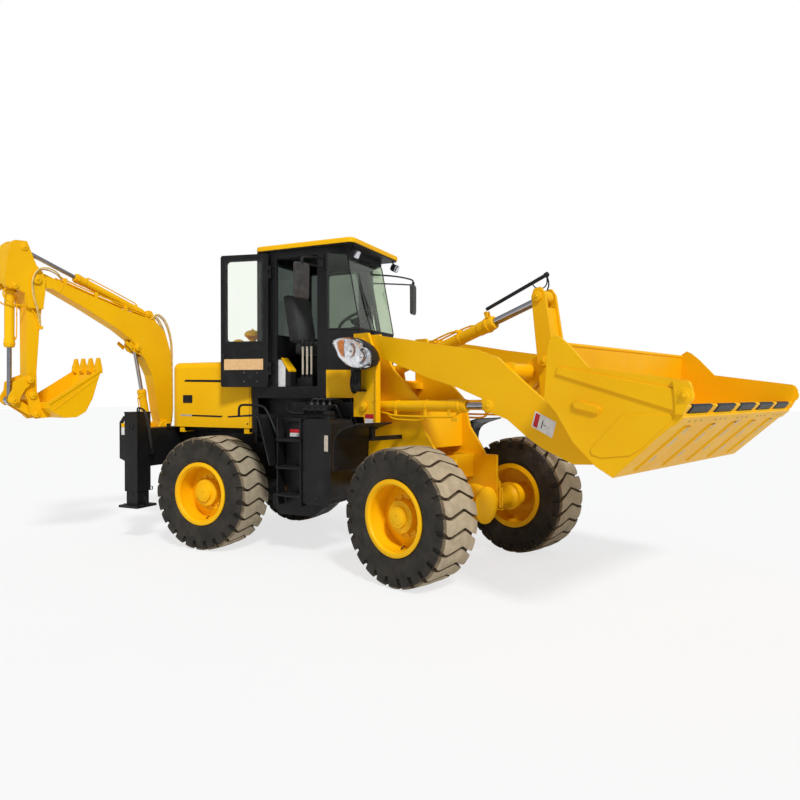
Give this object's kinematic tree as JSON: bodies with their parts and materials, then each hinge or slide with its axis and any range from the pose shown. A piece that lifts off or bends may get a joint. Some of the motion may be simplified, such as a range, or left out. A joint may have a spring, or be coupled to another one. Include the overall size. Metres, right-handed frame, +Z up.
{
  "type": "articulated backhoe loader",
  "caption": "Articulated yellow backhoe loader with a Z-bar front bucket, open glazed cab, rear stabilizers and a digging arm folded to one side.",
  "frame": {"origin": "centre of the whole machine's box, on the ground under the tyres", "axes": "+X forward along the rear half, +Y left, +Z up"},
  "size_m": [6.6574, 3.1153, 2.9283],
  "materials": {
    "yellow_paint": "gloss",
    "black_paint": "satin",
    "tyre": "matt",
    "glass": "polished",
    "chrome": "polished",
    "seat_fabric": "woven",
    "plastic": "matt",
    "worn_steel": "worn",
    "engine_casting": "rough"
  },
  "bodies": {
    "machine": {"rear_chassis": "black_paint", "rear_axle": "black_paint", "engine_block": "engine_casting", "hood": "yellow_paint", "air_stacks": "yellow_paint", "rear_fenders": "black_paint", "side_tanks": "black_paint", "access_steps": "black_paint", "cab_floor": "black_paint", "cab_frame": "black_paint", "cab_glass": "glass", "cab_roof": "yellow_paint", "seat_base": "plastic", "seat_cushions": "seat_fabric", "steering_column": "plastic", "control_console": "plastic", "mirrors": "plastic", "work_lights": "plastic", "backhoe_frame": "black_paint"},
    "right_door": {"right_door": "black_paint", "right_door_glass": "glass"},
    "left_door": {"left_door": "black_paint", "left_door_glass": "glass"},
    "front_frame": {"front_chassis": "yellow_paint", "front_axle": "yellow_paint", "loader_tower": "yellow_paint", "front_mudguards": "black_paint", "headlights": "plastic"},
    "rear_left_wheel": {"rear_left_tyre": "tyre", "rear_left_rim": "yellow_paint"},
    "rear_right_wheel": {"rear_right_tyre": "tyre", "rear_right_rim": "yellow_paint"},
    "front_left_wheel": {"front_left_tyre": "tyre", "front_left_rim": "yellow_paint"},
    "front_right_wheel": {"front_right_tyre": "tyre", "front_right_rim": "yellow_paint"},
    "loader_arms": {"loader_arms": "yellow_paint"},
    "bellcrank": {"bellcrank": "yellow_paint"},
    "bucket_link": {"bucket_link": "yellow_paint"},
    "loader_bucket": {"loader_bucket": "yellow_paint", "loader_bucket_teeth": "worn_steel"},
    "lift_barrels": {"lift_cylinder_barrels": "yellow_paint"},
    "lift_rods": {"lift_cylinder_rods": "chrome"},
    "tilt_barrel": {"tilt_cylinder_barrel": "yellow_paint"},
    "tilt_rod": {"tilt_cylinder_rod": "chrome"},
    "swing_post": {"swing_post": "yellow_paint"},
    "boom": {"boom": "yellow_paint"},
    "boom_barrel": {"boom_cylinder_barrel": "yellow_paint"},
    "boom_rod": {"boom_cylinder_rod": "chrome"},
    "dipper": {"dipper": "yellow_paint"},
    "dipper_barrel": {"dipper_cylinder_barrel": "yellow_paint"},
    "dipper_rod": {"dipper_cylinder_rod": "chrome"},
    "backhoe_bucket": {"backhoe_bucket": "yellow_paint"},
    "curl_barrel": {"bucket_cylinder_barrel": "yellow_paint"},
    "curl_rod": {"bucket_cylinder_rod": "chrome"},
    "rocker_link": {"rocker_link": "yellow_paint"},
    "push_link": {"push_link": "yellow_paint"},
    "left_stabilizer": {"left_stabilizer_leg": "black_paint"},
    "right_stabilizer": {"right_stabilizer_leg": "black_paint"}
  },
  "joints": [
    {"name": "articulation_steer", "type": "hinge", "parent": "machine", "child": "front_frame", "pos_m": [-0.27403, 0.56658, 0], "axis": [0, 0, 1], "range_deg": [-15.8, 54.2]},
    {"name": "right_door_hinge", "type": "hinge", "parent": "machine", "child": "right_door", "pos_m": [-1.14203, 0.07458, 1.548], "axis": [0, 0, 1], "range_deg": [0, 168]},
    {"name": "left_door_hinge", "type": "hinge", "parent": "machine", "child": "left_door", "pos_m": [-1.14203, 1.05858, 1.548], "axis": [0, 0, 1], "range_deg": [0, 168]},
    {"name": "rear_left_wheel_spin", "type": "hinge", "parent": "machine", "child": "rear_left_wheel", "pos_m": [-1.60703, 1.35758, 0.5375], "axis": [0, 1, 0], "continuous": true},
    {"name": "rear_right_wheel_spin", "type": "hinge", "parent": "machine", "child": "rear_right_wheel", "pos_m": [-1.60703, -0.22442, 0.5375], "axis": [0, 1, 0], "continuous": true},
    {"name": "front_left_wheel_spin", "type": "hinge", "parent": "front_frame", "child": "front_left_wheel", "pos_m": [1.15146, 0.90776, 0.5375], "axis": [0.3289, 0.9444, 0], "continuous": true},
    {"name": "front_right_wheel_spin", "type": "hinge", "parent": "front_frame", "child": "front_right_wheel", "pos_m": [0.6312, -0.58624, 0.5375], "axis": [0.3289, 0.9444, 0], "continuous": true},
    {"name": "loader_lift", "type": "hinge", "parent": "front_frame", "child": "loader_arms", "pos_m": [0.12261, 0.42846, 1.93], "axis": [-0.3289, -0.9444, 0], "range_deg": [-23, 55]},
    {"name": "bucket_tilt", "type": "hinge", "parent": "loader_arms", "child": "loader_bucket", "pos_m": [2.29467, -0.32794, 1.1], "axis": [0.3289, 0.9444, 0], "range_deg": [-5, 80]},
    {"name": "lift_barrel_pivot", "type": "hinge", "parent": "front_frame", "child": "lift_barrels", "pos_m": [0.1415, 0.42188, 1.37], "axis": [-0.3289, -0.9444, 0], "range_deg": [-22.07, 51.38]},
    {"name": "lift_rod_slide", "type": "slide", "parent": "lift_barrels", "child": "lift_rods", "axis": [0.9443, -0.3288, 0.0151], "range_m": [-0.2117, 0.50067]},
    {"name": "tilt_barrel_pivot", "type": "hinge", "parent": "front_frame", "child": "tilt_barrel", "pos_m": [0.04706, 0.45477, 1.707], "axis": [-0.3289, -0.9444, 0], "range_deg": [-21.33, 49.62]},
    {"name": "tilt_rod_slide", "type": "slide", "parent": "tilt_barrel", "child": "tilt_rod", "axis": [0.8974, -0.3125, 0.3116], "range_m": [-0.3419, 0.02512]},
    {"name": "bellcrank_pivot", "type": "hinge", "parent": "loader_arms", "child": "bellcrank", "pos_m": [1.63361, -0.09773, 1.73], "axis": [-0.3289, -0.9444, 0], "range_deg": [-3.46, 40.28]},
    {"name": "bucket_link_pivot", "type": "hinge", "parent": "loader_bucket", "child": "bucket_link", "pos_m": [2.12469, -0.26874, 1.39], "axis": [-0.3289, -0.9444, 0], "range_deg": [-4.96, 64.36]},
    {"name": "backhoe_swing", "type": "hinge", "parent": "machine", "child": "swing_post", "pos_m": [-2.89403, 0.56658, 0.76], "axis": [0, 0, 1], "range_deg": [-172, 8]},
    {"name": "boom_lift", "type": "hinge", "parent": "swing_post", "child": "boom", "pos_m": [-2.91212, 0.43785, 1.12], "axis": [-0.9903, 0.1392, 0], "range_deg": [-68, 5]},
    {"name": "dipper_crowd", "type": "hinge", "parent": "boom", "child": "dipper", "pos_m": [-3.11531, -1.00795, 2.565], "axis": [0.9903, -0.1392, 0], "range_deg": [-85, 15]},
    {"name": "backhoe_bucket_curl", "type": "hinge", "parent": "dipper", "child": "backhoe_bucket", "pos_m": [-3.12046, -1.04459, 1.468], "axis": [0.9903, -0.1392, 0], "range_deg": [-105, 5]},
    {"name": "boom_barrel_pivot", "type": "hinge", "parent": "swing_post", "child": "boom_barrel", "pos_m": [-2.93439, 0.2794, 1], "axis": [-0.9903, 0.1392, 0], "range_deg": [-69.75, 6.05]},
    {"name": "boom_rod_slide", "type": "slide", "parent": "boom_barrel", "child": "boom_rod", "axis": [-0.0262, -0.1866, 0.9821], "range_m": [-0.22653, 0.02036]},
    {"name": "dipper_barrel_pivot", "type": "hinge", "parent": "boom", "child": "dipper_barrel", "pos_m": [-2.94135, 0.22989, 2.362], "axis": [-0.9903, 0.1392, 0], "range_deg": [-1.14, 1.76]},
    {"name": "dipper_rod_slide", "type": "slide", "parent": "dipper_barrel", "child": "dipper_rod", "axis": [-0.131, -0.9321, 0.3377], "range_m": [-0.40826, 0.07534]},
    {"name": "curl_barrel_pivot", "type": "hinge", "parent": "dipper", "child": "curl_barrel", "pos_m": [-3.14315, -1.206, 2.48], "axis": [-0.9903, 0.1392, 0], "range_deg": [-1.39, 9.09]},
    {"name": "curl_rod_slide", "type": "slide", "parent": "curl_barrel", "child": "curl_rod", "axis": [-0.0009, -0.0066, -1], "range_m": [-0.25836, 0.01611]},
    {"name": "rocker_pivot", "type": "hinge", "parent": "dipper", "child": "rocker_link", "pos_m": [-3.12394, -1.06934, 1.615], "axis": [-0.9903, 0.1392, 0], "range_deg": [-4.61, 76.81]},
    {"name": "push_link_pivot", "type": "hinge", "parent": "backhoe_bucket", "child": "push_link", "pos_m": [-3.11601, -1.0129, 1.291], "axis": [-0.9903, 0.1392, 0], "range_deg": [-66.31, 4.11]},
    {"name": "left_stabilizer_slide", "type": "slide", "parent": "machine", "child": "left_stabilizer", "axis": [0, 0, 1], "range_m": [-0.4, 0]},
    {"name": "right_stabilizer_slide", "type": "slide", "parent": "machine", "child": "right_stabilizer", "axis": [0, 0, 1], "range_m": [-0.4, 0]}
  ],
  "couplings": [
    {"joint": "lift_barrel_pivot", "follows": "loader_lift", "ratio": 0.916},
    {"joint": "lift_rod_slide", "follows": "loader_lift", "m_per_rad": 0.5174},
    {"joint": "tilt_barrel_pivot", "follows": "loader_lift", "ratio": 0.884},
    {"joint": "tilt_rod_slide", "follows": "bucket_tilt", "m_per_rad": -0.242},
    {"joint": "bellcrank_pivot", "follows": "bucket_tilt", "ratio": 0.491},
    {"joint": "bucket_link_pivot", "follows": "bucket_tilt", "ratio": 0.792},
    {"joint": "boom_barrel_pivot", "follows": "boom_lift", "ratio": 1.011},
    {"joint": "boom_rod_slide", "follows": "boom_lift", "m_per_rad": 0.1875},
    {"joint": "dipper_barrel_pivot", "follows": "dipper_crowd", "ratio": -0.009},
    {"joint": "dipper_rod_slide", "follows": "dipper_crowd", "m_per_rad": 0.2725},
    {"joint": "curl_barrel_pivot", "follows": "backhoe_bucket_curl", "ratio": -0.077},
    {"joint": "curl_rod_slide", "follows": "backhoe_bucket_curl", "m_per_rad": 0.1388},
    {"joint": "rocker_pivot", "follows": "backhoe_bucket_curl", "ratio": -0.722},
    {"joint": "push_link_pivot", "follows": "backhoe_bucket_curl", "ratio": 0.622}
  ]
}
